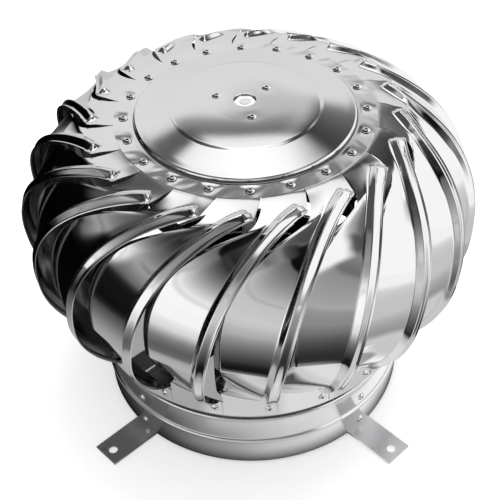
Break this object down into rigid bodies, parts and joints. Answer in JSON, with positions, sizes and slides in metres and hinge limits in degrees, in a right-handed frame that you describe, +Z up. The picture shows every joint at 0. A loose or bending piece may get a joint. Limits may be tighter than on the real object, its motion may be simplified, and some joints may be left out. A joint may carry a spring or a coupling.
{
  "type": "turbine chimney cap",
  "caption": "Wind-driven turbine chimney cap in bright stainless sheet: a ball-bearing rotor of curved ribbed blades under a riveted disc cap, above a beaded neck on strap feet.",
  "frame": {"origin": "on the rotor axis, in the plane under the four feet", "axes": "+Z up along the rotor axis, -Y towards the front that the picture shows, +X to the right of it"},
  "size_m": [0.416, 0.416, 0.3205],
  "materials": {
    "bright_sheet": "polished",
    "strap_steel": "satin",
    "rivet_alloy": "satin",
    "turned_steel": "machined",
    "plated_fastener": "zinc plated",
    "bearing_steel": "ground",
    "cage_brass": "satin",
    "black_spring_steel": "black oxide"
  },
  "bodies": {
    "base": {"neck_collar": "bright_sheet", "foot_front_left": "strap_steel", "foot_front_right": "strap_steel", "foot_rear_left": "strap_steel", "foot_rear_right": "strap_steel", "neck_rivets": "rivet_alloy", "cross_bar_lower": "strap_steel", "cross_bar_upper": "strap_steel", "spindle": "turned_steel", "spindle_foot_washer": "plated_fastener", "spindle_foot_nut": "plated_fastener", "lower_bearing_inner_race": "bearing_steel", "lower_bearing_clip": "black_spring_steel", "upper_bearing_inner_race": "bearing_steel", "spindle_top_washer": "plated_fastener", "spindle_top_nut": "plated_fastener"},
    "rotor": {"top_cap": "bright_sheet", "cap_rivets": "rivet_alloy", "bearing_hub": "turned_steel", "hub_rivets": "rivet_alloy", "hub_clip": "black_spring_steel", "upper_bearing_outer_race": "bearing_steel", "lower_hoop": "bright_sheet", "hoop_rivets": "rivet_alloy", "lower_spider": "strap_steel", "lower_bearing_housing": "turned_steel", "housing_rivets": "rivet_alloy", "lower_bearing_outer_race": "bearing_steel", "blade_01": "bright_sheet", "blade_02": "bright_sheet", "blade_03": "bright_sheet", "blade_04": "bright_sheet", "blade_05": "bright_sheet", "blade_06": "bright_sheet", "blade_07": "bright_sheet", "blade_08": "bright_sheet", "blade_09": "bright_sheet", "blade_10": "bright_sheet", "blade_11": "bright_sheet", "blade_12": "bright_sheet", "blade_13": "bright_sheet", "blade_14": "bright_sheet", "blade_15": "bright_sheet", "blade_16": "bright_sheet", "blade_17": "bright_sheet", "blade_18": "bright_sheet", "blade_19": "bright_sheet", "blade_20": "bright_sheet"},
    "upper_cage": {"upper_bearing_cage": "cage_brass", "upper_bearing_balls": "bearing_steel"},
    "lower_cage": {"lower_bearing_cage": "cage_brass", "lower_bearing_balls": "bearing_steel"}
  },
  "joints": [
    {"name": "rotor_spin", "type": "hinge", "parent": "base", "child": "rotor", "pos_m": [0, 0, 0.2], "axis": [0, 0, 1], "continuous": true},
    {"name": "upper_cage_spin", "type": "hinge", "parent": "base", "child": "upper_cage", "pos_m": [0, 0, 0.3065], "axis": [0, 0, 1], "continuous": true},
    {"name": "lower_cage_spin", "type": "hinge", "parent": "base", "child": "lower_cage", "pos_m": [0, 0, 0.0985], "axis": [0, 0, 1], "continuous": true}
  ],
  "couplings": [
    {"joint": "upper_cage_spin", "follows": "rotor_spin", "ratio": 0.616},
    {"joint": "lower_cage_spin", "follows": "rotor_spin", "ratio": 0.6}
  ]
}
